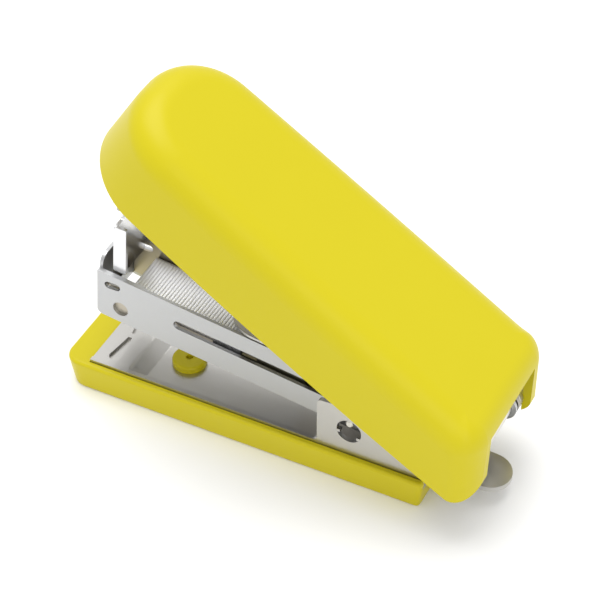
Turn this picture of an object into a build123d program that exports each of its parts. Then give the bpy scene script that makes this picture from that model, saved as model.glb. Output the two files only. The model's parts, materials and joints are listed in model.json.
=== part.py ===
from build123d import *
from math import cos, radians, sin, tan
import os

os.makedirs("parts", exist_ok=True)

# Pocket stapler for No. 10 staples. Millimetres, +X to the hinge end, +Z up,
# origin at the centre of the base's bottom face. The magazine is lifted off the
# base and the handle stands open above it, as the springs leave them.

# ---------------------------------------------------------------- shared sizes
CLEAR = 0.05  # radial running clearance
PIVOT_X = 34.45
PIVOT_Z = 11.65
PIN_R = 1.5
PIVOT_EAR_R = 2.2  # rounded end of every ear around the hinge pin
MAG_LIFT = 7.75  # pitch of the magazine, degrees
HANDLE_LIFT = 32.6  # pitch of the handle, degrees
SHEET = 0.7

# ------------------------------------------------------------------ base sizes
BASE_L = 56.0
BASE_W = 15.4
BASE_H = 5.15
BASE_FLARE = 6.6  # degrees the side walls lean outward
PLATE_T = 0.8
PLATE_HALF = 7.25
PLATE_FRONT = -24.4
PLATFORM_TOP = 5.4
FLOOR_TOP = 4.2
STEP_FRONT = -18.4
STEP_REAR = -16.2
PLATE_REAR = 28.4
LIP_TOP = 5.6
TONGUE_TIP_X = 38.4
TONGUE_TIP_Z = 3.5
TONGUE_HALF = 3.3
EAR_FRONT = 12.1
EAR_TOP = 13.6
SLOT_X = 17.0
SLOT_Z = 9.52
SLOT_W = 3.7
SLOT_H = 3.9
ANVIL_X = -21.6
ANVIL_HALF = 5.7
ANVIL_DEPTH = 0.5
BUTTON_X = -12.0
BUTTON_R = 2.55
BUTTON_SHANK_R = 1.5

# -------------------------------------------------------------- magazine sizes
MAG_HALF = 5.15
MAG_T = 0.5
MAG_TOP = 1.95
MAG_BOTTOM = -6.06
NOSE_X = -58.3
NOSE_LEAN = 4.0  # degrees the nose leans forward
GUIDE_T = 0.35
GUIDE_REAR = -40.0
CROWN_HALF = 4.2  # half a No. 10 staple's crown
WIRE = 0.5
STRIP_TOP = -0.2
STRIP_FRONT = -53.9
STRIP_REAR = -35.6
PUSHER_REAR = -25.5
RAIL_REAR = -14.0
SEAT_X = -10.5
SPRING_Z = -3.1
SPRING_R = 1.35
SPRING_WIRE_R = 0.2
ROD_R = 0.6
STOP_X = -17.22
STOP_Z = -3.3
STOP_R = 1.3
STOP_END_R = 0.55  # turned-down ends of the stop pin

# ---------------------------------------------------------------- handle sizes
COVER_FRONT = -65.1
COVER_HEEL = 5.6  # where the raked rear would meet the rim
COVER_RAKE = 0.62  # forward lean of the rear end, per unit of height
COVER_HALF_FRONT = 10.9
COVER_HALF_MID = 11.95
COVER_HALF_REAR = 12.5
COVER_CORNER_FRONT = 10.2
COVER_CORNER_REAR = 4.5
COVER_RIM = -2.75
COVER_RIM_SAG = 0.7
COVER_HEEL_R = 3.15
COVER_TOP_FRONT = 10.1
COVER_TOP_REAR = 8.65
COVER_EDGE_R = 4.2
COVER_WALL = 1.4
COVER_ROOF_T = 1.7
NOTCH_HALF = 7.55
FRAME_HALF = 6.25
FRAME_WEB = 4.95  # mid-thickness height of the frame's web
FRAME_FRONT = -54.5
BLADE_X = -56.2
BLADE_T = 0.5
BLADE_HALF = 4.1
BLADE_TIP = 0.1
BLADE_SHOULDER = 10.3
BLADE_NECK_HALF = 1.9
FLANGE_LOW = 2.1
FLANGE_REACH = 1.75
BLADE_HEAD = 14.6
BLADE_HEAD_HALF = 4.3
BLADE_TOP = 16.2
BLADE_RIVET_Z = 15.3
LEAF_T = 0.4
LEAF_HALF = 5.0
LEAF_FRONT = -38.8


def side_plane(pitch=0.0, y=0.0):
    """Side view at the hinge: x to the rear, y upward, in a body pitched by pitch degrees."""
    c = cos(radians(pitch))
    s = sin(radians(pitch))
    return Plane(origin=(PIVOT_X, y, PIVOT_Z), x_dir=(c, 0, -s), z_dir=(0, -1, 0))


def top_plane(pitch=0.0, height=0.0):
    """View from above at a height over the hinge, in a body pitched by pitch degrees."""
    c = cos(radians(pitch))
    s = sin(radians(pitch))
    origin = (PIVOT_X + s * height, 0, PIVOT_Z + c * height)
    return Plane(origin=origin, x_dir=(c, 0, -s), z_dir=(s, 0, c))


def end_plane(pitch, lean, x, height=0.0):
    """View along the body at x: x to the far side, y upward, leaned forward by lean degrees."""
    c = cos(radians(pitch))
    s = sin(radians(pitch))
    a = radians(pitch - lean)
    origin = (PIVOT_X + c * x + s * height, 0, PIVOT_Z - s * x + c * height)
    return Plane(origin=origin, x_dir=(0, 1, 0), z_dir=(cos(a), 0, -sin(a)))


def save(builder, name):
    """Label a finished piece and write it as one STEP file."""
    builder.part.label = name
    export_step(builder.part, "parts/" + name + ".step")


# ================================================================== base_shell
with BuildPart() as base_shell:
    with BuildSketch(Plane.XY):
        Rectangle(BASE_L, BASE_W)
    extrude(amount=BASE_H, taper=-BASE_FLARE)
    uprights = base_shell.edges().filter_by(lambda e: abs(e.tangent_at(0.5).Z) > 0.9)
    fillet(uprights.group_by(Axis.X)[0], radius=2.6)
    uprights = base_shell.edges().filter_by(lambda e: abs(e.tangent_at(0.5).Z) > 0.9)
    fillet(uprights.group_by(Axis.X)[-1], radius=0.7)
    fillet(base_shell.faces().sort_by(Axis.Z)[-1].edges(), radius=0.5)
    fillet(base_shell.faces().sort_by(Axis.Z)[0].edges(), radius=0.4)
    # seat for the sheet plate, open through the rear wall
    with BuildSketch(Plane.XZ):
        with BuildLine():
            Polyline(
                (PLATE_FRONT - 0.1, 8),
                (PLATE_FRONT - 0.1, PLATFORM_TOP - PLATE_T - 0.02),
                (STEP_FRONT - 0.7, PLATFORM_TOP - PLATE_T - 0.02),
                (STEP_REAR - 1.1, FLOOR_TOP - PLATE_T - 0.02),
                (PLATE_REAR + 4, FLOOR_TOP - PLATE_T - 0.02),
                (PLATE_REAR + 4, 8),
                close=True,
            )
        make_face()
    extrude(amount=PLATE_HALF + 0.1, both=True, mode=Mode.SUBTRACT)
    # moulded hollow below the plate
    with BuildSketch(Plane.XY.offset(1.4)):
        with Locations((2.0, 0)):
            RectangleRounded(49.0, 12.2, 1.2)
    extrude(amount=1.98, mode=Mode.SUBTRACT)
    with BuildSketch(Plane.XY.offset(1.3)):
        with Locations((-19.2, 0), (-2.0, 0), (10.0, 0), (22.0, 0)):
            Rectangle(1.0, 12.3)
        with Locations((BUTTON_X, 0)):
            Circle(2.5)
    extrude(amount=FLOOR_TOP - PLATE_T - 0.02 - 1.3)
    # heat-staked button over the plate
    with BuildSketch(Plane.XY.offset(3.0)):
        with Locations((BUTTON_X, 0)):
            Circle(BUTTON_SHANK_R)
    extrude(amount=1.4)
    with BuildSketch(Plane.XY.offset(FLOOR_TOP + 0.01)):
        with Locations((BUTTON_X, 0)):
            Circle(BUTTON_R)
    extrude(amount=1.0)
    button_rim = base_shell.faces().filter_by(Plane.XY).sort_by(Axis.Z)[-1].edges()
    fillet(button_rim, radius=0.35)
    with BuildSketch(Plane.XY.offset(FLOOR_TOP + 0.5)):
        with Locations((BUTTON_X, 0)):
            Circle(0.55)
    extrude(amount=1.0, mode=Mode.SUBTRACT)
save(base_shell, "base_shell")

# ================================================================== base_plate
with BuildPart() as base_plate:
    with BuildSketch(Plane.XZ):
        with BuildLine():
            FilletPolyline(
                (PLATE_FRONT, PLATFORM_TOP - PLATE_T / 2),
                (STEP_FRONT, PLATFORM_TOP - PLATE_T / 2),
                (STEP_REAR, FLOOR_TOP - PLATE_T / 2),
                (PLATE_REAR, FLOOR_TOP - PLATE_T / 2),
                (TONGUE_TIP_X, TONGUE_TIP_Z - PLATE_T / 2),
                radius=1.0,
            )
        trace(line_width=PLATE_T)
    extrude(amount=PLATE_HALF, both=True)
    # plan outline: full width, then the tongue with its round end
    with BuildSketch(Plane.XY):
        with Locations(((PLATE_FRONT + PLATE_REAR) / 2, 0)):
            Rectangle(PLATE_REAR - PLATE_FRONT, 2 * PLATE_HALF)
        with Locations((TONGUE_TIP_X - TONGUE_HALF - 4.0, 0)):
            Rectangle(8.0, 2 * TONGUE_HALF)
        with Locations((TONGUE_TIP_X - TONGUE_HALF, 0)):
            Circle(TONGUE_HALF)
    extrude(amount=8, mode=Mode.INTERSECT)
    # lips and hinge ears on both sides
    for wall_y in (-PLATE_HALF + SHEET, PLATE_HALF):
        with BuildSketch(Plane.XZ.offset(-wall_y)):
            with BuildLine():
                Polyline(
                    (PLATE_FRONT, PLATFORM_TOP - PLATE_T),
                    (PLATE_FRONT, LIP_TOP),
                    (EAR_FRONT, LIP_TOP),
                    (EAR_FRONT, EAR_TOP),
                    (PIVOT_X - 8.0, EAR_TOP + 0.6),
                    (PIVOT_X, PIVOT_Z + PIVOT_EAR_R),
                    (PIVOT_X, PIVOT_Z - PIVOT_EAR_R),
                    (PLATE_REAR, FLOOR_TOP + 1.2),
                    (PLATE_REAR, FLOOR_TOP - PLATE_T),
                    (STEP_REAR - 0.2, FLOOR_TOP - PLATE_T),
                    (STEP_FRONT - 0.2, PLATFORM_TOP - PLATE_T),
                    close=True,
                )
            make_face()
            with Locations((PIVOT_X, PIVOT_Z)):
                Circle(PIVOT_EAR_R)
                Circle(PIN_R + CLEAR, mode=Mode.SUBTRACT)
            with Locations((SLOT_X, SLOT_Z)):
                SlotOverall(SLOT_H, SLOT_W, rotation=90, mode=Mode.SUBTRACT)
            # two small tabs left on the rim of the stop hole
            with Locations((SLOT_X - 1.75, SLOT_Z - 0.45), (SLOT_X + 1.55, SLOT_Z - 1.0)):
                Rectangle(0.8, 0.45)
        extrude(amount=SHEET)
    roots = base_plate.edges().filter_by(Axis.Y).filter_by(lambda e: abs(e.length - SHEET) < 0.01)
    fillet(roots.filter_by(lambda e: abs(e.center().X - EAR_FRONT) < 0.05), radius=0.8)
    # two teardrop crimping pockets
    with BuildSketch(Plane.XY.offset(PLATFORM_TOP - ANVIL_DEPTH)):
        for side in (-1, 1):
            with BuildLine():
                Polyline(
                    (ANVIL_X - 0.3, side * 0.45),
                    (ANVIL_X + 0.3, side * 0.45),
                    (ANVIL_X + 0.92, side * (ANVIL_HALF - 0.95)),
                    (ANVIL_X - 0.92, side * (ANVIL_HALF - 0.95)),
                    close=True,
                )
            make_face()
            with Locations((ANVIL_X, side * (ANVIL_HALF - 0.95))):
                Circle(0.95)
    extrude(amount=1.0, mode=Mode.SUBTRACT)
    # holes for the moulded button and the leaf's rivet
    with BuildSketch(Plane.XY):
        with Locations((BUTTON_X, 0)):
            Circle(BUTTON_SHANK_R + 0.02)
        with Locations((24.5, 0)):
            Circle(0.8)
    extrude(amount=8, mode=Mode.SUBTRACT)
save(base_plate, "base_plate")

# =================================================================== hinge_pin
with BuildPart() as hinge_pin:
    with BuildSketch(side_plane()):
        Circle(PIN_R)
    extrude(amount=PLATE_HALF + 0.12, both=True)
    fillet(hinge_pin.faces().sort_by(Axis.Y)[0].edges(), radius=0.1)
    fillet(hinge_pin.faces().sort_by(Axis.Y)[-1].edges(), radius=0.1)
save(hinge_pin, "hinge_pin")

# ================================================================= pin_washers
with BuildPart() as pin_washers:
    for washer_y in (6.54, -6.28):
        with BuildSketch(side_plane(y=washer_y)):
            Circle(PIVOT_EAR_R - 0.05)
            Circle(PIN_R + CLEAR, mode=Mode.SUBTRACT)
        extrude(amount=0.26)
save(pin_washers, "pin_washers")

# ================================================================= lift_spring
with BuildPart() as lift_spring:
    with BuildSketch(Plane.XZ):
        with BuildLine():
            FilletPolyline(
                (26.6, FLOOR_TOP + 0.18),
                (20.5, FLOOR_TOP + 0.18),
                (8.0, 8.75),
                (5.4, 8.4),
                radius=2.0,
            )
        trace(line_width=0.3)
    extrude(amount=2.4, both=True)
    with BuildSketch(Plane.XY):
        with Locations((24.5, 0)):
            Circle(0.8)
    extrude(amount=8, mode=Mode.SUBTRACT)
save(lift_spring, "lift_spring")

with BuildPart() as lift_spring_rivet:
    with BuildSketch(Plane.XY.offset(FLOOR_TOP - PLATE_T - 0.01)):
        with Locations((24.5, 0)):
            Circle(0.78)
    extrude(amount=PLATE_T + 0.4)
    with BuildSketch(Plane.XY.offset(FLOOR_TOP + 0.35)):
        with Locations((24.5, 0)):
            Circle(1.4)
    extrude(amount=0.55)
    fillet(lift_spring_rivet.faces().sort_by(Axis.Z)[-1].edges(), radius=0.3)
save(lift_spring_rivet, "lift_spring_rivet")

# =============================================================== magazine_case
lean = tan(radians(NOSE_LEAN))


def nose(height):
    """Local x of the leaning nose at a local height."""
    return NOSE_X - (height + 2.0) * lean


with BuildPart() as magazine_case:
    with BuildSketch(side_plane(MAG_LIFT)):
        with BuildLine():
            Polyline(
                (nose(MAG_TOP), MAG_TOP),
                (nose(MAG_BOTTOM), MAG_BOTTOM),
                (-9.0, MAG_BOTTOM),
                (-1.0, -PIVOT_EAR_R),
                (0, -PIVOT_EAR_R),
                (0, PIVOT_EAR_R),
                (-5.0, MAG_TOP),
                close=True,
            )
        make_face()
        Circle(PIVOT_EAR_R)
    extrude(amount=MAG_HALF, both=True)
    corners = magazine_case.edges().filter_by(Axis.Y).group_by(Axis.X)[0]
    fillet(corners.sort_by(Axis.Z)[0], radius=0.9)
    # channel between the side walls, above the floor web
    with BuildSketch(side_plane(MAG_LIFT)):
        with BuildLine():
            Polyline(
                (nose(12) + MAG_T, 12),
                (nose(MAG_BOTTOM + MAG_T) + MAG_T, MAG_BOTTOM + MAG_T),
                (-9.6, MAG_BOTTOM + MAG_T),
                (-9.6, MAG_BOTTOM - 3),
                (12, -8),
                (12, 12),
                close=True,
            )
        make_face()
    extrude(amount=MAG_HALF - MAG_T, both=True, mode=Mode.SUBTRACT)
    # front wall stands a little higher than the sides, with rounded corners
    with BuildSketch(end_plane(MAG_LIFT, NOSE_LEAN, NOSE_X, -2.0)):
        with Locations((0, 4.4)):
            Rectangle(8.8, 3.2)
    extrude(amount=MAG_T)
    tab_tops = magazine_case.edges().filter_by(lambda e: abs(e.length - MAG_T) < 0.02)
    tab_tops = tab_tops.group_by(Axis.Z)[-1]
    fillet(tab_tops, radius=1.5)
    # turned-in lips along the front of the top edges
    for lip_y in (MAG_HALF, -MAG_HALF + 0.75):
        with BuildSketch(side_plane(MAG_LIFT, y=lip_y)):
            with BuildLine():
                Polyline(
                    (nose(MAG_TOP), MAG_TOP),
                    (nose(MAG_TOP), MAG_TOP - 0.45),
                    (-51.2, MAG_TOP - 0.45),
                    (-51.2, MAG_TOP),
                    close=True,
                )
            make_face()
        extrude(amount=0.75)
    # pin hole, round hole, small slot and long slot through both walls
    with BuildSketch(side_plane(MAG_LIFT)):
        Circle(PIN_R + CLEAR)
        with Locations((STOP_X, STOP_Z)):
            Circle(STOP_END_R)
        with Locations((-54.4, -3.6)):
            Circle(1.2)
        with Locations((-56.0, 0.1)):
            SlotOverall(2.5, 1.2, rotation=8)
        with Locations((-33.0, -1.65)):
            SlotOverall(26.0, 1.5)
    extrude(amount=20, both=True, mode=Mode.SUBTRACT)
    # staple exit in the floor web
    with BuildSketch(top_plane(MAG_LIFT, MAG_BOTTOM - 1)):
        with Locations((-56.5, 0)):
            Rectangle(2.3, 8.7)
    extrude(amount=2.0, mode=Mode.SUBTRACT)
save(magazine_case, "magazine_case")

# ================================================================= front_guide
GUIDE_OUT = MAG_HALF - MAG_T - 0.02
GUIDE_BOTTOM = MAG_BOTTOM + MAG_T + 0.02
with BuildPart() as front_guide:
    with BuildSketch(side_plane(MAG_LIFT)):
        with BuildLine():
            Polyline(
                (nose(1.4) + MAG_T + 0.1, 1.4),
                (nose(GUIDE_BOTTOM) + MAG_T + 0.1, GUIDE_BOTTOM),
                (GUIDE_REAR, GUIDE_BOTTOM),
                (GUIDE_REAR, 1.4),
                close=True,
            )
        make_face()
    extrude(amount=GUIDE_OUT, both=True)
    fillet(front_guide.edges().filter_by(Axis.Y).group_by(Axis.Z)[-1], radius=1.6)
    fillet(front_guide.edges().filter_by(Axis.Y).group_by(Axis.X)[-1].sort_by(Axis.Z)[-1], radius=1.4)
    with BuildSketch(side_plane(MAG_LIFT)):
        with BuildLine():
            Polyline(
                (-70, GUIDE_BOTTOM + GUIDE_T),
                (-30, GUIDE_BOTTOM + GUIDE_T),
                (-30, 6),
                (-70, 6),
                close=True,
            )
        make_face()
    extrude(amount=GUIDE_OUT - GUIDE_T, both=True, mode=Mode.SUBTRACT)
    with BuildSketch(top_plane(MAG_LIFT, MAG_BOTTOM - 1)):
        with Locations((-56.9, 0)):
            Rectangle(3.1, 8.7)
    extrude(amount=2.0, mode=Mode.SUBTRACT)
    with BuildSketch(side_plane(MAG_LIFT)):
        with Locations((-33.0 - 5.0, -1.65)):
            SlotOverall(16.5, 1.5)
        with Locations((-56.0, 0.1)):
            SlotOverall(2.5, 1.2, rotation=8)
    extrude(amount=20, both=True, mode=Mode.SUBTRACT)
save(front_guide, "front_guide")

# ================================================================= staple_rail
RAIL_BOTTOM = GUIDE_BOTTOM + GUIDE_T + 0.02
RAIL_TOP = STRIP_TOP - WIRE - 0.05
RAIL_HALF = CROWN_HALF - WIRE - 0.05
with BuildPart() as staple_rail:
    with BuildSketch(end_plane(MAG_LIFT, 0, STRIP_FRONT)):
        with Locations((0, (RAIL_BOTTOM + RAIL_TOP) / 2)):
            RectangleRounded(2 * RAIL_HALF, RAIL_TOP - RAIL_BOTTOM, 0.5)
            Rectangle(2 * RAIL_HALF - 1.0, RAIL_TOP - RAIL_BOTTOM - 1.0, mode=Mode.SUBTRACT)
        with Locations((0, RAIL_BOTTOM)):
            Rectangle(2 * RAIL_HALF - 1.0, 2.0, mode=Mode.SUBTRACT)
    extrude(amount=RAIL_REAR - STRIP_FRONT)
    # feet that carry the rail on the floor web behind the nose liner
    with BuildSketch(top_plane(MAG_LIFT, MAG_BOTTOM + MAG_T + 0.01)):
        for side in (-1, 1):
            with Locations(((GUIDE_REAR + 0.6 + RAIL_REAR) / 2, side * (RAIL_HALF - 0.25))):
                Rectangle(RAIL_REAR - GUIDE_REAR - 0.6, 0.5)
    extrude(amount=1.0)
    # window behind the strip, and clearance for the stop pin
    with BuildSketch(side_plane(MAG_LIFT)):
        with Locations((STOP_X, STOP_Z)):
            Circle(STOP_R)
    extrude(amount=20, both=True, mode=Mode.SUBTRACT)
    with BuildSketch(top_plane(MAG_LIFT, RAIL_TOP - 2.0)):
        with Locations((-36.0, 0)):
            Rectangle(24.0, 2.0)
    extrude(amount=4.0, mode=Mode.SUBTRACT)
save(staple_rail, "staple_rail")

# ================================================================ staple_strip
with BuildPart() as staple_strip:
    with BuildSketch(end_plane(MAG_LIFT, 0, STRIP_FRONT + 0.1)):
        with Locations((0, (RAIL_BOTTOM + STRIP_TOP) / 2)):
            RectangleRounded(2 * CROWN_HALF, STRIP_TOP - RAIL_BOTTOM, 0.4)
        with Locations((0, (RAIL_BOTTOM + RAIL_TOP - 1.0) / 2 + 0.02)):
            Rectangle(2 * RAIL_HALF + 0.06, RAIL_TOP - RAIL_BOTTOM + 1.0, mode=Mode.SUBTRACT)
    extrude(amount=STRIP_REAR - STRIP_FRONT - 0.1)
save(staple_strip, "staple_strip")

# ====================================================================== pusher
with BuildPart() as pusher:
    with BuildSketch(end_plane(MAG_LIFT, 0, STRIP_REAR + 0.1)):
        with Locations((0, (RAIL_BOTTOM + STRIP_TOP) / 2 + 0.2)):
            RectangleRounded(2 * CROWN_HALF, STRIP_TOP - RAIL_BOTTOM - 0.4, 0.5)
        with Locations((0, (RAIL_BOTTOM + RAIL_TOP - 1.0) / 2 + 0.04)):
            Rectangle(2 * RAIL_HALF + 0.2, RAIL_TOP - RAIL_BOTTOM + 1.04, mode=Mode.SUBTRACT)
    extrude(amount=PUSHER_REAR - STRIP_REAR - 0.1)
    # narrower nose that bears on the strip
    with BuildSketch(side_plane(MAG_LIFT)):
        with BuildLine():
            Polyline(
                (STRIP_REAR - 1, -2.6),
                (STRIP_REAR + 2.4, -2.6),
                (STRIP_REAR + 2.4, RAIL_TOP - 0.02),
                (STRIP_REAR - 1, RAIL_TOP - 0.02),
                close=True,
            )
        make_face()
    extrude(amount=10, both=True, mode=Mode.SUBTRACT)
    # web that hangs through the rail's slot and takes the spring
    with BuildSketch(top_plane(MAG_LIFT, SPRING_Z - 1.6)):
        with Locations((STRIP_REAR + 1.1, 0)):
            Rectangle(1.0, 1.8)
    extrude(amount=RAIL_TOP - SPRING_Z + 1.8)
    with BuildSketch(end_plane(MAG_LIFT, 0, STRIP_REAR - 1)):
        with Locations((0, SPRING_Z)):
            Circle(ROD_R + CLEAR)
    extrude(amount=6, mode=Mode.SUBTRACT)
save(pusher, "pusher")

# =================================================================== stop_pin
with BuildPart() as stop_pin:
    with BuildSketch(side_plane(MAG_LIFT)):
        with Locations((STOP_X, STOP_Z)):
            Circle(STOP_R)
    extrude(amount=MAG_HALF - MAG_T, both=True)
    with BuildSketch(side_plane(MAG_LIFT)):
        with Locations((STOP_X, STOP_Z)):
            Circle(STOP_END_R)
    extrude(amount=PLATE_HALF - 0.1, both=True)
    chamfer(stop_pin.faces().sort_by(Axis.Y)[0].edges(), length=0.15)
    chamfer(stop_pin.faces().sort_by(Axis.Y)[-1].edges(), length=0.15)
    with BuildSketch(end_plane(MAG_LIFT, 0, STOP_X - 4)):
        with Locations((0, SPRING_Z)):
            Circle(ROD_R)
    extrude(amount=8, mode=Mode.SUBTRACT)
save(stop_pin, "stop_pin")

# ================================================== spring_seat and its rivets
with BuildPart() as spring_seat:
    with BuildSketch(side_plane(MAG_LIFT)):
        with BuildLine():
            FilletPolyline(
                (SEAT_X - 3.0, MAG_BOTTOM + MAG_T + 0.32),
                (SEAT_X, MAG_BOTTOM + MAG_T + 0.32),
                (SEAT_X, 0.6),
                radius=0.6,
            )
        trace(line_width=0.6)
    extrude(amount=3.0, both=True)
    with BuildSketch(end_plane(MAG_LIFT, 0, SEAT_X - 1)):
        with Locations((0, SPRING_Z)):
            Circle(ROD_R)
    extrude(amount=3, mode=Mode.SUBTRACT)
    with BuildSketch(top_plane(MAG_LIFT, MAG_BOTTOM)):
        with Locations((SEAT_X - 2.0, -1.9), (SEAT_X - 2.0, 1.9)):
            Circle(0.5)
    extrude(amount=2, mode=Mode.SUBTRACT)
save(spring_seat, "spring_seat")

with BuildPart() as seat_rivets:
    for rivet_y in (-1.9, 1.9):
        with BuildSketch(top_plane(MAG_LIFT, MAG_BOTTOM + MAG_T + 0.01)):
            with Locations((SEAT_X - 2.0, rivet_y)):
                Circle(0.48)
        extrude(amount=0.7)
        with BuildSketch(top_plane(MAG_LIFT, MAG_BOTTOM + MAG_T + 0.63)):
            with Locations((SEAT_X - 2.0, rivet_y)):
                Circle(0.75)
        extrude(amount=0.35)
save(seat_rivets, "seat_rivets")

# ================================================== pusher_rod, pusher_spring
with BuildPart() as pusher_rod:
    with BuildSketch(end_plane(MAG_LIFT, 0, -52.0)):
        with Locations((0, SPRING_Z)):
            Circle(ROD_R)
    extrude(amount=SEAT_X + 52.0 + 0.3)
    with BuildSketch(end_plane(MAG_LIFT, 0, SEAT_X + 0.31)):
        with Locations((0, SPRING_Z)):
            Circle(1.0)
    extrude(amount=0.5)
save(pusher_rod, "pusher_rod")

SPRING_FRONT = STRIP_REAR + 1.85
SPRING_LEN = STOP_X - STOP_R - 0.3 - SPRING_FRONT
with BuildPart() as pusher_spring:
    coil = Helix(
        pitch=1.0,
        height=SPRING_LEN,
        radius=SPRING_R,
        center=(0, 0, 0),
        direction=(0, 0, 1),
    )
    coil_plane = end_plane(MAG_LIFT, 0, SPRING_FRONT, SPRING_Z)
    path = coil_plane.location * coil
    with BuildSketch(Plane(origin=path @ 0, z_dir=path % 0)):
        Circle(SPRING_WIRE_R)
    sweep(path=path, is_frenet=True)
save(pusher_spring, "pusher_spring")

# ================================================================= cover_shell
def cover_outline(height, inset):
    """Plan of the cover at a height over the hinge, inset by a wall thickness."""
    front = COVER_FRONT + inset
    rear = COVER_HEEL - COVER_RAKE * (height - COVER_RIM) - 1.18 * inset
    middle = (front + rear) / 2
    with BuildSketch(top_plane(HANDLE_LIFT, height)) as plan:
        with BuildLine():
            near_side = ThreePointArc(
                (front, inset - COVER_HALF_FRONT),
                (middle, inset - COVER_HALF_MID),
                (rear, inset - COVER_HALF_REAR),
            )
            far_side = ThreePointArc(
                (rear, COVER_HALF_REAR - inset),
                (middle, COVER_HALF_MID - inset),
                (front, COVER_HALF_FRONT - inset),
            )
            Line(near_side @ 1, far_side @ 0)
            Line(far_side @ 1, near_side @ 0)
        make_face()
        fillet(plan.vertices().group_by(Axis.X)[0], radius=COVER_CORNER_FRONT - inset)
        fillet(plan.vertices().group_by(Axis.X)[-1], radius=COVER_CORNER_REAR - inset)
    return plan.sketch


def cover_profile(inset, roof_drop):
    """Side view of the cover, inset by a wall at the rear and dropped at the roof."""
    rake_x = COVER_HEEL - COVER_RAKE * (COVER_TOP_REAR - COVER_RIM) - 1.18 * inset
    rear_top = (rake_x, COVER_TOP_REAR - roof_drop)
    front_top = (COVER_FRONT - 3, COVER_TOP_FRONT - roof_drop)
    heel_r = COVER_HEEL_R - inset
    with BuildSketch(side_plane(HANDLE_LIFT)) as profile:
        with BuildLine():
            heel = CenterArc((0, heel_r - 0.1 + COVER_RIM), heel_r, -76, 90)
            rim = ThreePointArc(
                (COVER_FRONT - 3, COVER_RIM),
                (COVER_FRONT / 2, COVER_RIM - COVER_RIM_SAG),
                heel @ 0,
            )
            Line(heel @ 1, rear_top)
            Line(rear_top, front_top)
            Line(front_top, rim @ 0)
        make_face()
    return profile.sketch


def handle_point(x, z):
    """Handle-local side-view point for a point given in the magazine's local axes."""
    a = radians(HANDLE_LIFT - MAG_LIFT)
    return (x * cos(a) - z * sin(a), x * sin(a) + z * cos(a))


UP = Axis((0, 0, 0), top_plane(HANDLE_LIFT).z_dir)

with BuildPart() as cover_core:
    low = cover_outline(COVER_RIM - 2.0, COVER_WALL)
    high = cover_outline(COVER_TOP_FRONT + 1.5, COVER_WALL)
    loft(sections=[low, high], ruled=True)
    with BuildSketch(side_plane(HANDLE_LIFT)):
        with BuildLine():
            Polyline(
                (COVER_FRONT - 3, COVER_RIM - 1.9),
                (3, COVER_RIM - 1.9),
                (3, COVER_TOP_REAR - COVER_ROOF_T),
                (COVER_FRONT - 3, COVER_TOP_FRONT - COVER_ROOF_T),
                close=True,
            )
        make_face()
    extrude(amount=20, both=True, mode=Mode.INTERSECT)
    fillet(cover_core.faces().sort_by(UP)[-1].edges(), radius=COVER_EDGE_R - COVER_WALL)

with BuildPart() as cover_shell:
    low = cover_outline(COVER_RIM - 1.5, 0)
    high = cover_outline(COVER_TOP_FRONT + 1.5, 0)
    loft(sections=[low, high], ruled=True)
    extrude(cover_profile(0, 0), amount=20, both=True, mode=Mode.INTERSECT)
    fillet(cover_shell.faces().sort_by(UP)[-1].edges(), radius=COVER_EDGE_R)
    add(cover_core.part, mode=Mode.SUBTRACT)
    # notch that clears the hinge ears, up to the underside of the roof
    with BuildSketch(end_plane(HANDLE_LIFT, 0, -8.0)):
        with Locations((0, (COVER_TOP_REAR - COVER_ROOF_T + COVER_RIM) / 2 - 2)):
            Rectangle(2 * NOTCH_HALF, COVER_TOP_REAR - COVER_ROOF_T - COVER_RIM + 4)
    extrude(amount=16, mode=Mode.SUBTRACT)
    # ribs that seat on the frame's web, and ribs that locate its cheeks
    with BuildSketch(top_plane(HANDLE_LIFT, FRAME_WEB + SHEET / 2 + 0.01)):
        with Locations((-32, -4.0), (-32, 4.0)):
            Rectangle(36, 1.0)
    extrude(amount=3.6)
    with BuildSketch(top_plane(HANDLE_LIFT, 0.5)):
        for rib_x in (-50.0, -34.0, -18.0):
            for rib_y in (-8.7, 8.7):
                with Locations((rib_x, rib_y)):
                    Rectangle(1.0, 4.4)
    extrude(amount=4.4)
save(cover_shell, "cover_shell")

# ================================================================ handle_frame
TONGUE_LEAN = tan(radians(NOSE_LEAN))
TONGUE_OFFSET = (BLADE_T + SHEET) / 2 + 0.01


def tongue_point(height):
    """Handle-local point on the tongue's mid-plane, just ahead of the blade."""
    return handle_point(BLADE_X - TONGUE_LEAN * height - TONGUE_OFFSET, height)


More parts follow.
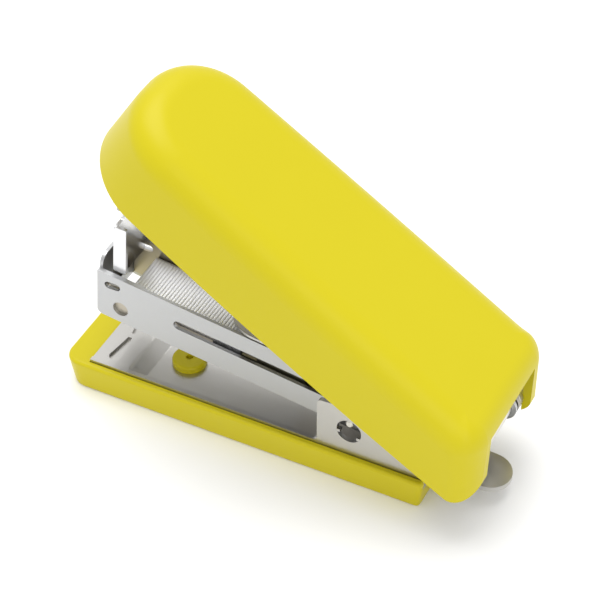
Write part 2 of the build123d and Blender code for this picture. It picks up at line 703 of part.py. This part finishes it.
with BuildPart() as handle_frame:
    with BuildSketch(side_plane(HANDLE_LIFT)):
        with BuildLine():
            Polyline(
                (FRAME_FRONT, FRAME_WEB + SHEET / 2),
                (-3.4, FRAME_WEB + SHEET / 2),
                (PIVOT_EAR_R * 0.94, PIVOT_EAR_R * 0.34),
                (0, -PIVOT_EAR_R),
                (-6.0, -3.4),
                (-50.0, -4.8),
                (FRAME_FRONT, -3.0),
                close=True,
            )
        make_face()
        Circle(PIVOT_EAR_R)
    extrude(amount=FRAME_HALF, both=True)
    bends = handle_frame.faces().sort_by(UP)[-1].edges().filter_by(lambda e: e.length > 30)
    fillet(bends, radius=0.9)
    with BuildSketch(side_plane(HANDLE_LIFT)):
        with BuildLine():
            Polyline(
                (-80, FRAME_WEB - SHEET / 2),
                (20, FRAME_WEB - SHEET / 2),
                (20, -20),
                (-80, -20),
                close=True,
            )
        make_face()
    extrude(amount=FRAME_HALF - SHEET, both=True, mode=Mode.SUBTRACT)
    # hinge holes, and lightening holes in the cheeks
    with BuildSketch(side_plane(HANDLE_LIFT)):
        Circle(PIN_R + CLEAR)
        with Locations((-40, 0.4), (-22, 0.4)):
            SlotOverall(9, 3.0)
    extrude(amount=20, both=True, mode=Mode.SUBTRACT)
    # drive tongue, bent down from the front of the web
    with BuildSketch(side_plane(HANDLE_LIFT)):
        with BuildLine():
            FilletPolyline(
                (-50, FRAME_WEB),
                (tongue_point(BLADE_TOP + 0.8)[0] - 0.3, FRAME_WEB),
                tongue_point(BLADE_TOP + 0.8),
                tongue_point(BLADE_SHOULDER + 1.0),
                radius=1.2,
            )
        trace(line_width=SHEET)
    extrude(amount=BLADE_NECK_HALF, both=True)
    with BuildSketch(end_plane(MAG_LIFT, NOSE_LEAN, BLADE_X)):
        with Locations((-1.2, BLADE_RIVET_Z), (1.2, BLADE_RIVET_Z)):
            Circle(0.45)
    extrude(amount=2, both=True, mode=Mode.SUBTRACT)
    with BuildSketch(top_plane(HANDLE_LIFT, FRAME_WEB)):
        with Locations((-15.0, 0)):
            Circle(0.8)
    extrude(amount=2, both=True, mode=Mode.SUBTRACT)
save(handle_frame, "handle_frame")

# ================================================= driver_blade, blade_rivets
with BuildPart() as driver_blade:
    with BuildSketch(end_plane(MAG_LIFT, NOSE_LEAN, BLADE_X)) as blade:
        with Locations((0, (BLADE_TIP + BLADE_SHOULDER) / 2)):
            Rectangle(2 * BLADE_HALF, BLADE_SHOULDER - BLADE_TIP)
        with Locations((0, (BLADE_SHOULDER + BLADE_HEAD) / 2)):
            Rectangle(2 * BLADE_NECK_HALF, BLADE_HEAD - BLADE_SHOULDER + 1)
        with Locations((0, (BLADE_HEAD + BLADE_TOP) / 2)):
            Rectangle(2 * BLADE_HEAD_HALF, BLADE_TOP - BLADE_HEAD)
        fillet(blade.vertices().group_by(Axis.Z)[-1], radius=0.4)
        with Locations((-1.2, BLADE_RIVET_Z), (1.2, BLADE_RIVET_Z)):
            Circle(0.45, mode=Mode.SUBTRACT)
    extrude(amount=BLADE_T / 2, both=True)
    # side flanges that stiffen the body above the magazine
    with BuildSketch(end_plane(MAG_LIFT, NOSE_LEAN, BLADE_X)):
        for side in (-1, 1):
            with Locations((side * (BLADE_HALF - BLADE_T / 2), (FLANGE_LOW + BLADE_SHOULDER) / 2)):
                Rectangle(BLADE_T, BLADE_SHOULDER - FLANGE_LOW)
    extrude(amount=FLANGE_REACH)
save(driver_blade, "driver_blade")

with BuildPart() as blade_rivets:
    rivet_plane = end_plane(MAG_LIFT, NOSE_LEAN, BLADE_X)
    tail_depth = -BLADE_T / 2 - SHEET - 0.03
    with BuildSketch(rivet_plane.offset(tail_depth - 0.1)):
        with Locations((-1.2, BLADE_RIVET_Z), (1.2, BLADE_RIVET_Z)):
            Circle(0.44)
    extrude(amount=BLADE_T + SHEET + 0.2)
    with BuildSketch(rivet_plane.offset(BLADE_T / 2 + 0.01)):
        with Locations((-1.2, BLADE_RIVET_Z), (1.2, BLADE_RIVET_Z)):
            Circle(0.75)
    extrude(amount=0.35)
    with BuildSketch(rivet_plane.offset(tail_depth)):
        with Locations((-1.2, BLADE_RIVET_Z), (1.2, BLADE_RIVET_Z)):
            Circle(0.75)
    extrude(amount=-0.3)
save(blade_rivets, "blade_rivets")

# =================================== handle_spring and handle_spring_rivet
with BuildPart() as handle_spring:
    with BuildSketch(side_plane(HANDLE_LIFT)):
        with BuildLine():
            FilletPolyline(
                handle_point(LEAF_FRONT, MAG_TOP + 0.3),
                handle_point(-9.5, MAG_TOP + 0.3),
                (-5.6, 3.0),
                (-7.0, FRAME_WEB - SHEET / 2 - LEAF_T / 2 - 0.02),
                (-19.0, FRAME_WEB - SHEET / 2 - LEAF_T / 2 - 0.02),
                radius=0.8,
            )
        trace(line_width=LEAF_T)
    extrude(amount=LEAF_HALF, both=True)
    tips = handle_spring.edges().filter_by(lambda e: abs(e.length - LEAF_T) < 0.01)
    fillet(tips.sort_by(Axis.X)[:2], radius=4.6)
    with BuildSketch(top_plane(HANDLE_LIFT, 5.0)):
        with Locations((-15.0, 0)):
            Circle(0.8)
    extrude(amount=-2.0, mode=Mode.SUBTRACT)
save(handle_spring, "handle_spring")

with BuildPart() as handle_spring_rivet:
    shank_low = FRAME_WEB - SHEET / 2 - LEAF_T - 0.1
    with BuildSketch(top_plane(HANDLE_LIFT, shank_low)):
        with Locations((-15.0, 0)):
            Circle(0.78)
    extrude(amount=SHEET + LEAF_T + 0.2)
    with BuildSketch(top_plane(HANDLE_LIFT, FRAME_WEB + SHEET / 2 + 0.01)):
        with Locations((-15.0, 0)):
            Circle(1.4)
    extrude(amount=0.5)
    with BuildSketch(top_plane(HANDLE_LIFT, shank_low + 0.06)):
        with Locations((-15.0, 0)):
            Circle(1.3)
    extrude(amount=-0.5)
save(handle_spring_rivet, "handle_spring_rivet")
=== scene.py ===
"""Looks for a pocket stapler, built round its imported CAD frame.

Metres, +X to the hinge end, +Y to the far side, +Z up, origin at the centre of
the base's flat underside. The CAD nodes keep their shapes; the staples, the
coil spring and the studio are made here.
"""

import json
import logging
import math
from dataclasses import dataclass, field
from enum import Enum
from typing import Any

import bpy
import numpy as np
from mathutils import Matrix, Vector

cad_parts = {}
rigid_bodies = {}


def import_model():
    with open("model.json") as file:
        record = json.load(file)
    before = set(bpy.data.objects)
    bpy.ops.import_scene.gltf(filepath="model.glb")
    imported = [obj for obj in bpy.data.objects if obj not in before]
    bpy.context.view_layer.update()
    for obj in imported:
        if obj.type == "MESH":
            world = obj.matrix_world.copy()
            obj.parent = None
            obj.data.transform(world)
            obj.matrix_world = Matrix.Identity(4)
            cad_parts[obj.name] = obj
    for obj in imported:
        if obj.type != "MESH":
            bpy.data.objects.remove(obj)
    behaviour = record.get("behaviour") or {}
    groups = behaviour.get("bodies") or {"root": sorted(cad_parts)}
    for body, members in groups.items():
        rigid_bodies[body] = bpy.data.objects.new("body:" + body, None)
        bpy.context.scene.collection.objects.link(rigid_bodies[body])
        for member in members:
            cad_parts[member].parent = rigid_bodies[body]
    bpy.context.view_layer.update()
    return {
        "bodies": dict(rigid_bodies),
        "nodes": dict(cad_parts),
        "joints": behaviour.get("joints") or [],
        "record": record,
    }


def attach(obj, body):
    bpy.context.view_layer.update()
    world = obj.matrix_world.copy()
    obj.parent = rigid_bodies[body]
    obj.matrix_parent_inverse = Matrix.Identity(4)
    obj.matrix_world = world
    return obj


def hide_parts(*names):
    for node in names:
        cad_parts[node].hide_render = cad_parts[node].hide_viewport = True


LOG = logging.getLogger("stapler")
MM = 0.001
PIVOT = (34.45 * MM, 11.65 * MM)
MAGAZINE_PITCH = math.radians(7.75)
HANDLE_PITCH = math.radians(32.6)
MAGAZINE_BODY = "magazine"
PLAIN_SCALE = (1.0, 1.0, 1.0)

Colour = tuple[float, float, float]


class Signal:
    """A shader socket with arithmetic: each operator adds one Math node."""

    def __init__(self, graph: "Graph", socket: bpy.types.NodeSocket) -> None:
        """Keep the graph and the socket.

        Args:
            graph: Graph that new nodes are added to.
            socket: Output socket that carries the value.
        """
        self.graph = graph
        self.socket = socket

    def _math(self, operation: str, first: Any, second: Any) -> "Signal":
        """Add a Math node.

        Args:
            operation: Name of the Math node's operation.
            first: Left value or signal.
            second: Right value or signal.

        Returns:
            The node's result.
        """
        return self.graph.add("ShaderNodeMath", {"operation": operation}, {0: first, 1: second})

    def __add__(self, other: Any) -> "Signal":
        """Sum."""
        return self._math("ADD", self, other)

    def __radd__(self, other: Any) -> "Signal":
        """Reflected sum."""
        return self._math("ADD", other, self)

    def __sub__(self, other: Any) -> "Signal":
        """Difference."""
        return self._math("SUBTRACT", self, other)

    def __rsub__(self, other: Any) -> "Signal":
        """Reflected difference."""
        return self._math("SUBTRACT", other, self)

    def __mul__(self, other: Any) -> "Signal":
        """Product."""
        return self._math("MULTIPLY", self, other)

    def __rmul__(self, other: Any) -> "Signal":
        """Reflected product."""
        return self._math("MULTIPLY", other, self)

    def power(self, exponent: float) -> "Signal":
        """Raise to an exponent.

        Args:
            exponent: Exponent to raise to.

        Returns:
            The result.
        """
        return self._math("POWER", self, exponent)


class Graph:
    """Node tree of one material, ending in a Principled BSDF."""

    def __init__(self, name: str) -> None:
        """Start an empty material.

        Args:
            name: Name of the material.
        """
        self.material = bpy.data.materials.new(name)
        self.material.use_nodes = True
        self.tree = self.material.node_tree
        self.tree.nodes.clear()
        self.surface = self.tree.nodes.new("ShaderNodeBsdfPrincipled")
        output = self.tree.nodes.new("ShaderNodeOutputMaterial")
        self.tree.links.new(self.surface.outputs["BSDF"], output.inputs["Surface"])

    def add(self, kind: str, settings: dict[str, Any], inputs: dict[Any, Any], out: Any = 0) -> Signal:
        """Add any node.

        Args:
            kind: Node type.
            settings: Attributes set before the sockets.
            inputs: Socket name or index to a value or a Signal.
            out: Name or index of the output socket wanted.

        Returns:
            The chosen output as a Signal.
        """
        node = self.tree.nodes.new(kind)
        for key, value in settings.items():
            setattr(node, key, value)
        for key, value in inputs.items():
            self.feed(node.inputs[key], value)
        return Signal(self, node.outputs[out])

    def feed(self, socket: bpy.types.NodeSocket, value: Any) -> None:
        """Link a Signal to a socket, or set a constant on it.

        Args:
            socket: Input socket.
            value: Signal, number or tuple.
        """
        if isinstance(value, Signal):
            self.tree.links.new(value.socket, socket)
        else:
            socket.default_value = value

    def set(self, **inputs: Any) -> None:
        """Feed the Principled BSDF, with underscores standing for spaces in names."""
        for key, value in inputs.items():
            self.feed(self.surface.inputs[key.replace("_", " ")], value)

    def place(self, pitch: float, scale: tuple[float, float, float]) -> Signal:
        """Object coordinates centred on the hinge pin, turned and scaled.

        Args:
            pitch: Turn about the hinge, in radians, that lines the pattern up with a body.
            scale: Scale along the body's own axes.

        Returns:
            The pattern's coordinates.
        """
        coords = self.add("ShaderNodeTexCoord", {}, {}, "Object")
        settings = {"vector_type": "TEXTURE"}
        inputs = {
            "Vector": coords,
            "Location": (PIVOT[0], 0.0, PIVOT[1]),
            "Rotation": (0.0, pitch, 0.0),
            "Scale": tuple(1.0 / s for s in scale),
        }
        return self.add("ShaderNodeMapping", settings, inputs)

    def noise(self, vector: Signal, scale: float, detail: float = 3.0) -> Signal:
        """Noise between 0 and 1 at a scale.

        Args:
            vector: Coordinates.
            scale: Size of the pattern, in repeats per unit.
            detail: Number of octaves.

        Returns:
            The noise value.
        """
        inputs = {"Vector": vector, "Scale": scale, "Detail": detail, "Roughness": 0.55}
        return self.add("ShaderNodeTexNoise", {}, inputs, "Fac")

    def blend(self, factor: Any, first: Colour, second: Colour) -> Signal:
        """Mix two colours.

        Args:
            factor: Share of the second colour.
            first: Colour at 0.
            second: Colour at 1.

        Returns:
            The mixed colour.
        """
        inputs = {0: factor, 6: (*first, 1.0), 7: (*second, 1.0)}
        return self.add("ShaderNodeMix", {"data_type": "RGBA", "clamp_factor": True}, inputs, 2)

    def bump(self, height: Signal, strength: float, distance: float) -> Signal:
        """Bump normal from a height.

        Args:
            height: Height between 0 and 1.
            strength: Strength of the bump.
            distance: Depth of the pattern, in metres.

        Returns:
            The bumped normal.
        """
        inputs = {"Height": height, "Strength": strength, "Distance": distance}
        return self.add("ShaderNodeBump", {}, inputs)


@dataclass(frozen=True)
class MouldedPlastic:
    """Satin injection-moulded plastic with a faint spark-eroded grain."""

    name: str
    colour: Colour
    deep: Colour
    roughness: float
    pitch: float = 0.0
    flow_scale: float = 55.0
    grain_scale: float = 5200.0
    rubbed_scale: float = 420.0
    grain_depth: float = 0.04 * MM
    shine: float = 0.25

    def make(self) -> bpy.types.Material:
        """Build the material.

        Returns:
            Plastic whose colour, gloss and grain vary slowly over the moulding.
        """
        g = Graph(self.name)
        coords = g.place(self.pitch, PLAIN_SCALE)
        flow = g.noise(coords, self.flow_scale, 2.0)
        grain = g.noise(coords, self.grain_scale, 2.0)
        rubbed = g.noise(coords, self.rubbed_scale, 4.0)
        g.set(
            Base_Color=g.blend(flow * 0.55, self.colour, self.deep),
            Roughness=self.roughness - 0.04 + flow * 0.05 + rubbed * 0.05,
            Normal=g.bump(grain * 0.7 + rubbed * 0.3, 0.10, self.grain_depth),
            Specular_IOR_Level=self.shine,
        )
        return g.material


@dataclass(frozen=True)
class SheetSteel:
    """Plated sheet steel: fine rolling lines, soft cloudy plating, small scuffs."""

    name: str
    colour: Colour
    shade: Colour
    roughness: float
    pitch: float = 0.0
    lines: float = 0.5
    stretch: float = 0.035
    line_scale: float = 3600.0
    cloud_scale: float = 90.0
    scuff_scale: float = 600.0
    line_depth: float = 0.02 * MM

    def make(self) -> bpy.types.Material:
        """Build the material.

        Returns:
            Steel with lines along the sheet's length and patches of duller plating.
        """
        g = Graph(self.name)
        along = g.place(self.pitch, (self.stretch, 1.0, 1.0))
        coords = g.place(self.pitch, PLAIN_SCALE)
        rolled = g.noise(along, self.line_scale, 2.0)
        cloud = g.noise(coords, self.cloud_scale, 2.0)
        scuff = g.noise(coords, self.scuff_scale, 3.0).power(3.0)
        g.set(
            Base_Color=g.blend(cloud * 0.5 + scuff * 0.3, self.colour, self.shade),
            Metallic=1.0,
            Roughness=self.roughness + rolled * 0.05 * self.lines + cloud * 0.05 + scuff * 0.05,
            Normal=g.bump(rolled * self.lines, 0.05, self.line_depth),
        )
        return g.material


@dataclass(frozen=True)
class DrawnSteel:
    """Turned or drawn steel of pins, rivets, rods and wire."""

    name: str
    colour: Colour
    shade: Colour
    roughness: float
    mottle_scale: float = 700.0
    fine_scale: float = 4200.0
    fine_depth: float = 0.02 * MM

    def make(self) -> bpy.types.Material:
        """Build the material.

        Returns:
            Steel with fine mottling and a slightly uneven polish.
        """
        g = Graph(self.name)
        coords = g.place(0.0, PLAIN_SCALE)
        mottle = g.noise(coords, self.mottle_scale, 3.0)
        fine = g.noise(coords, self.fine_scale, 2.0)
        g.set(
            Base_Color=g.blend(mottle, self.colour, self.shade),
            Metallic=1.0,
            Roughness=self.roughness + mottle * 0.12,
            Normal=g.bump(fine, 0.08, self.fine_depth),
        )
        return g.material


@dataclass(frozen=True)
class Backdrop:
    """Pale paper floor."""

    name: str
    colour: Colour
    shade: Colour
    tooth_scale: float = 300.0

    def make(self) -> bpy.types.Material:
        """Build the material.

        Returns:
            Matt paper with a barely visible tooth.
        """
        g = Graph(self.name)
        coords = g.place(0.0, PLAIN_SCALE)
        tooth = g.noise(coords, self.tooth_scale, 2.0)
        g.set(Base_Color=g.blend(tooth * 0.1, self.colour, self.shade), Roughness=0.9)
        return g.material


YELLOW = (0.570, 0.490, 0.006)
YELLOW_DEEP = (0.540, 0.455, 0.004)


class Finish(Enum):
    """Every finish on the stapler."""

    COVER = MouldedPlastic("cover_yellow", YELLOW, YELLOW_DEEP, 0.38, HANDLE_PITCH)
    SHELL = MouldedPlastic("base_yellow", YELLOW, YELLOW_DEEP, 0.34)
    PLATE = SheetSteel("bright_plate", (0.57, 0.56, 0.535), (0.51, 0.495, 0.465), 0.26)
    CASE = SheetSteel("magazine_steel", (0.52, 0.525, 0.53), (0.475, 0.48, 0.48), 0.36, MAGAZINE_PITCH)
    # The liner steel's warm olive colour and its darker tone are a painted reflection of the yellow
    # cover and painted shade inside the magazine.
    LINER = SheetSteel("liner_steel", (0.50, 0.46, 0.38), (0.42, 0.38, 0.30), 0.34, MAGAZINE_PITCH)
    FRAME = SheetSteel("handle_steel", (0.44, 0.42, 0.38), (0.34, 0.32, 0.28), 0.30, HANDLE_PITCH)
    # The blade steel's near-white colour is a painted highlight of its lit face. Its low roughness is
    # its real polish.
    BLADE = SheetSteel("blade_steel", (0.80, 0.80, 0.81), (0.70, 0.70, 0.70), 0.20, HANDLE_PITCH, 0.3)
    LEAF = SheetSteel("spring_steel", (0.34, 0.31, 0.27), (0.22, 0.19, 0.16), 0.30, HANDLE_PITCH, 0.7)
    PUSHER = SheetSteel("passivated_steel", (0.52, 0.50, 0.36), (0.38, 0.35, 0.24), 0.32, MAGAZINE_PITCH)
    PIN = DrawnSteel("pin_steel", (0.55, 0.53, 0.48), (0.36, 0.34, 0.30), 0.26)
    WIRE = DrawnSteel("staple_wire", (0.66, 0.615, 0.54), (0.60, 0.555, 0.48), 0.42)
    COIL = DrawnSteel("coil_steel", (0.50, 0.50, 0.50), (0.34, 0.34, 0.34), 0.30)


def material(finish: Finish) -> bpy.types.Material:
    """The material of a finish, made the first time it is asked for.

    A finish that shares its name with a material of the frame gets that plain
    material instead, so spring_steel, pin_steel and staple_wire are not made.

    Args:
        finish: One of the stapler's finishes.

    Returns:
        The Blender material.
    """
    return bpy.data.materials.get(finish.value.name) or finish.value.make()


def dress(frame: dict[str, Any], node: str, finish: Finish) -> None:
    """Put a finish on a CAD node.

    Args:
        node: Name of the CAD node.
        finish: Finish to put on it.
    """
    slots = frame["nodes"][node].material_slots
    for slot in slots:
        slot.material = material(finish)
    LOG.info("%s wears %s", node, finish.name.lower())


def in_magazine(points: np.ndarray) -> np.ndarray:
    """Turn points from the magazine's own axes at the hinge into the row frame.

    Args:
        points: Array (..., 3) of metres along the magazine, across it and up from it.

    Returns:
        Array of the same shape in the row frame.
    """
    c, s = math.cos(MAGAZINE_PITCH), math.sin(MAGAZINE_PITCH)
    x, y, z = points[..., 0], points[..., 1], points[..., 2]
    return np.stack([PIVOT[0] + c * x + s * z, y, PIVOT[1] - s * x + c * z], axis=-1)


def tube(path: np.ndarray, side: np.ndarray, up: np.ndarray, section: np.ndarray) -> np.ndarray:
    """Sweep a closed section along a path.

    Each ring is path + side * section_x + up * section_y.

    Args:
        path: Array (n, 3) of centre points.
        side: Array (n, 3) of unit vectors across the path.
        up: Array (n, 3) of unit vectors across the path, square to side.
        section: Array (m, 2) of the section, counter-clockwise.

    Returns:
        Array (n, m, 3) of rings.
    """
    across = side[:, None, :] * section[None, :, 0, None]
    above = up[:, None, :] * section[None, :, 1, None]
    return path[:, None, :] + across + above


def tube_faces(rings: int, count: int, start: int) -> list[tuple[int, ...]]:
    """Faces of a capped tube.

    Args:
        rings: Number of rings.
        count: Points in each ring.
        start: Index of the first vertex.

    Returns:
        Quads of the wall and one face over each end.
    """
    i = np.arange(rings - 1)[:, None] * count
    j = np.arange(count)[None, :]
    k = (j + 1) % count
    quads = np.stack([i + j, i + k, i + count + k, i + count + j], axis=-1).reshape(-1, 4) + start
    last = start + (rings - 1) * count
    caps = [tuple(range(start + count - 1, start - 1, -1)), tuple(range(last, last + count))]
    return [tuple(int(v) for v in q) for q in quads] + caps


def make_piece(
    name: str, points: np.ndarray, faces: list[tuple[int, ...]], finish: Finish
) -> bpy.types.Object:
    """Make a mesh object at the origin, smooth shaded, with its finish.

    Args:
        name: Name of the piece.
        points: Array (n, 3) of vertices in the row frame.
        faces: Vertex indices of each face, wound outwards.
        finish: Finish of the piece.

    Returns:
        The new object.
    """
    mesh = bpy.data.meshes.new(name)
    mesh.from_pydata(points.tolist(), [], faces)
    mesh.polygons.foreach_set("use_smooth", np.ones(len(mesh.polygons), dtype=bool))
    mesh.materials.append(material(finish))
    mesh.update()
    piece = bpy.data.objects.new(name, mesh)
    bpy.context.scene.collection.objects.link(piece)
    return piece


@dataclass
class BaseAssembly:
    """Moulded base shell with its sheet plate, hinge pin and lifting leaf."""

    frame: dict[str, Any]
    finishes: dict[str, Finish] = field(
        default_factory=lambda: {
            "base_shell": Finish.SHELL,
            "base_plate": Finish.PLATE,
            "hinge_pin": Finish.PIN,
            "pin_washers": Finish.PIN,
            "lift_spring": Finish.LEAF,
            "lift_spring_rivet": Finish.PIN,
        }
    )

    def build(self) -> None:
        """Dress every piece of the base."""
        for node, finish in self.finishes.items():
            dress(self.frame, node, finish)


@dataclass
class MagazineAssembly:
    """Staple magazine: case, liner, rail, staples, pusher and its spring."""

    frame: dict[str, Any]
    strip_front: float = -53.8 * MM
    strip_rear: float = -35.6 * MM
    strip_bottom: float = -5.14 * MM
    crown_top: float = -0.2 * MM
    crown_half: float = 4.2 * MM
    wire: float = 0.5 * MM
    pitch: float = 0.5 * MM
    squareness: float = 0.16
    wire_points: int = 12
    bend: float = 0.55 * MM
    coil_front: float = -33.75 * MM
    coil_rear: float = -18.85 * MM
    coil_height: float = -3.1 * MM
    coil_radius: float = 1.35 * MM
    coil_wire: float = 0.19 * MM
    coil_turns: int = 15
    coil_steps: int = 20
    coil_points: int = 10
    coil_spread: float = 0.02
    finishes: dict[str, Finish] = field(
        default_factory=lambda: {
            "magazine_case": Finish.CASE,
            "front_guide": Finish.LINER,
            "staple_rail": Finish.LINER,
            "stop_pin": Finish.PIN,
            "pusher_rod": Finish.PIN,
            "spring_seat": Finish.LINER,
            "seat_rivets": Finish.PIN,
            "pusher": Finish.PUSHER,
        }
    )

    def crown_path(self) -> tuple[np.ndarray, np.ndarray]:
        """Centre line of one staple, in the plane across the magazine.

        The line goes up the near leg, round a quarter circle of radius bend,
        along the crown, round the other quarter circle and down the far leg.

        Returns:
            Array (n, 2) of y and z, and array (n, 2) of the outward direction.
        """
        half = self.crown_half - self.wire / 2
        top = self.crown_top - self.wire / 2
        r = self.bend
        angles = np.linspace(math.pi, math.pi / 2, 5)
        near = np.stack([-half + r + r * np.cos(angles), top - r + r * np.sin(angles)], axis=-1)
        far = near[::-1] * np.array([-1.0, 1.0])
        line = np.concatenate([[[-half, self.strip_bottom]], near, far, [[half, self.strip_bottom]]])
        out_near = np.stack([np.cos(angles), np.sin(angles)], axis=-1)
        out_far = out_near[::-1] * np.array([-1.0, 1.0])
        out = np.concatenate([[[-1.0, 0.0]], out_near, out_far, [[1.0, 0.0]]])
        return line, out

    def staples(self) -> bpy.types.Object:
        """Strip of glued staples in place of the CAD's plain strip.

        Each staple is a rounded square wire swept along the crown path, and the
        staples stand one wire apart along the rail.

        Returns:
            One object with every staple.
        """
        line, out = self.crown_path()
        n = len(line)
        turn = 2.0 * math.pi
        angle = np.linspace(0.0, turn, self.wire_points, endpoint=False) + math.pi / self.wire_points
        squared = np.sign(np.cos(angle)) * np.abs(np.cos(angle)) ** self.squareness
        squared_up = np.sign(np.sin(angle)) * np.abs(np.sin(angle)) ** self.squareness
        section = np.stack([squared, squared_up], axis=-1) * self.wire / 2
        along = np.tile([1.0, 0.0, 0.0], (n, 1))
        outward = np.column_stack([np.zeros(n), out])
        xs = np.arange(self.strip_front + self.wire / 2, self.strip_rear - self.wire / 2, self.pitch)
        points, faces = [], []
        for x in xs:
            path = np.column_stack([np.full(n, x), line])
            start = len(points) * n * len(section)
            points.append(tube(path, outward, along, section).reshape(-1, 3))
            faces += tube_faces(n, len(section), start)
        strip = make_piece("staples", in_magazine(np.concatenate(points)), faces, Finish.WIRE)
        LOG.info("staples: %d wires", len(xs))
        return strip

    def coil(self) -> bpy.types.Object:
        """Coil spring on the pusher rod.

        A round wire follows a helix along the rail, with its turns a little
        further apart towards both ends.

        Returns:
            The spring.
        """
        steps = self.coil_turns * self.coil_steps + 1
        t = np.linspace(0.0, 1.0, steps)
        turn = 2.0 * math.pi * self.coil_turns * t
        ease = t + self.coil_spread * np.sin(2.0 * math.pi * t)
        length = self.coil_rear - self.coil_front - 2 * self.coil_wire
        x = self.coil_front + self.coil_wire + length * ease
        radial = np.column_stack([np.zeros(steps), np.cos(turn), np.sin(turn)])
        path = np.column_stack([x, np.zeros(steps), np.full(steps, self.coil_height)])
        path = path + radial * self.coil_radius
        tangent = np.gradient(path, axis=0)
        tangent /= np.linalg.norm(tangent, axis=1, keepdims=True)
        binormal = np.cross(tangent, radial)
        angle = np.linspace(0.0, 2.0 * math.pi, self.coil_points, endpoint=False)
        section = np.stack([np.cos(angle), np.sin(angle)], axis=-1) * self.coil_wire
        rings = tube(path, radial, binormal, section)
        faces = tube_faces(steps, len(section), 0)
        return make_piece("coil", in_magazine(rings.reshape(-1, 3)), faces, Finish.COIL)

    def build(self) -> None:
        """Dress the magazine and add its staples and its spring."""
        for node, finish in self.finishes.items():
            dress(self.frame, node, finish)
        strip = self.staples()
        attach(strip, MAGAZINE_BODY)
        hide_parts("staple_strip")
        coil = self.coil()
        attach(coil, MAGAZINE_BODY)
        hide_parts("pusher_spring")


@dataclass
class HandleAssembly:
    """Moulded cover over a sheet frame with the driver blade and leaf spring."""

    frame: dict[str, Any]
    finishes: dict[str, Finish] = field(
        default_factory=lambda: {
            "cover_shell": Finish.COVER,
            "handle_frame": Finish.FRAME,
            "driver_blade": Finish.BLADE,
            "blade_rivets": Finish.PIN,
            "handle_spring": Finish.LEAF,
            "handle_spring_rivet": Finish.PIN,
        }
    )

    def build(self) -> None:
        """Dress every piece of the handle."""
        for node, finish in self.finishes.items():
            dress(self.frame, node, finish)


@dataclass(frozen=True)
class Lamp:
    """Square soft light: where it hangs, its width in metres and its watts."""

    name: str
    place: tuple[float, float, float]
    size: float
    power: float


@dataclass
class Studio:
    """Pale floor, soft lights and the camera."""

    azimuth: float = math.radians(26.687)
    elevation: float = math.radians(41.953)
    camera_at: tuple[float, float, float] = (109.06 * MM, -205.29 * MM, 230.01 * MM)
    lens: float = 135.65
    sensor: float = 36.0
    world_strength: float = 0.85
    floor_half: float = 3.0
    floor_drop: float = 0.02 * MM
    aim_height: float = 20.0 * MM
    lamps: tuple[Lamp, ...] = (
        Lamp("key", (-0.15, 0.1, 0.9), 0.8, 6.0),
        Lamp("fill", (0.6, -0.6, 0.5), 0.6, 1.5),
    )

    def floor(self) -> None:
        """Lay a wide paper floor under the base."""
        half, low = self.floor_half, -self.floor_drop
        corners = [(-half, -half, low), (half, -half, low), (half, half, low), (-half, half, low)]
        mesh = bpy.data.meshes.new("paper_floor")
        mesh.from_pydata(corners, [], [(0, 1, 2, 3)])
        mesh.materials.append(Backdrop("paper", (0.93, 0.93, 0.93), (0.9, 0.9, 0.9)).make())
        paper = bpy.data.objects.new("paper_floor", mesh)
        bpy.context.scene.collection.objects.link(paper)

    def hang(self, lamp: Lamp) -> None:
        """Hang a light and aim it at the stapler.

        Args:
            lamp: The light to hang.
        """
        data = bpy.data.lights.new(lamp.name, "AREA")
        data.size = lamp.size
        data.energy = lamp.power
        light = bpy.data.objects.new(lamp.name, data)
        light.location = lamp.place
        aim = Vector((0.0, 0.0, self.aim_height)) - Vector(lamp.place)
        light.rotation_euler = aim.to_track_quat("-Z", "Y").to_euler()
        bpy.context.scene.collection.objects.link(light)

    def world(self) -> None:
        """Light everything evenly from a pale surround."""
        world = bpy.data.worlds.new("surround")
        world.use_nodes = True
        background = world.node_tree.nodes["Background"]
        background.inputs["Color"].default_value = (1.0, 1.0, 1.0, 1.0)
        background.inputs["Strength"].default_value = self.world_strength
        bpy.context.scene.world = world

    def camera(self) -> None:
        """Set the camera up at the viewing angle."""
        a, e = self.azimuth, self.elevation
        back = Vector((math.sin(a) * math.cos(e), -math.cos(a) * math.cos(e), math.sin(e)))
        right = Vector((math.cos(a), math.sin(a), 0.0))
        turn = Matrix((right, back.cross(right), back)).transposed().to_4x4()
        data = bpy.data.cameras.new("camera")
        data.lens = self.lens
        data.sensor_width = self.sensor
        data.clip_start = 0.01
        camera = bpy.data.objects.new("camera", data)
        camera.matrix_world = Matrix.Translation(self.camera_at) @ turn
        bpy.context.scene.collection.objects.link(camera)
        bpy.context.scene.camera = camera

    def build(self) -> None:
        """Set up floor, lights and camera, and show colours as they are."""
        bpy.context.scene.view_settings.view_transform = "Standard"
        self.floor()
        self.world()
        for lamp in self.lamps:
            self.hang(lamp)
        self.camera()


def main() -> None:
    """Build the stapler."""
    logging.basicConfig(level=logging.INFO, format="%(message)s")
    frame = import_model()
    parts: list[Any] = [BaseAssembly(frame), MagazineAssembly(frame), HandleAssembly(frame), Studio()]
    for part in parts:
        part.build()
        LOG.info("%s built", type(part).__name__)


if __name__ == "__main__":
    main()
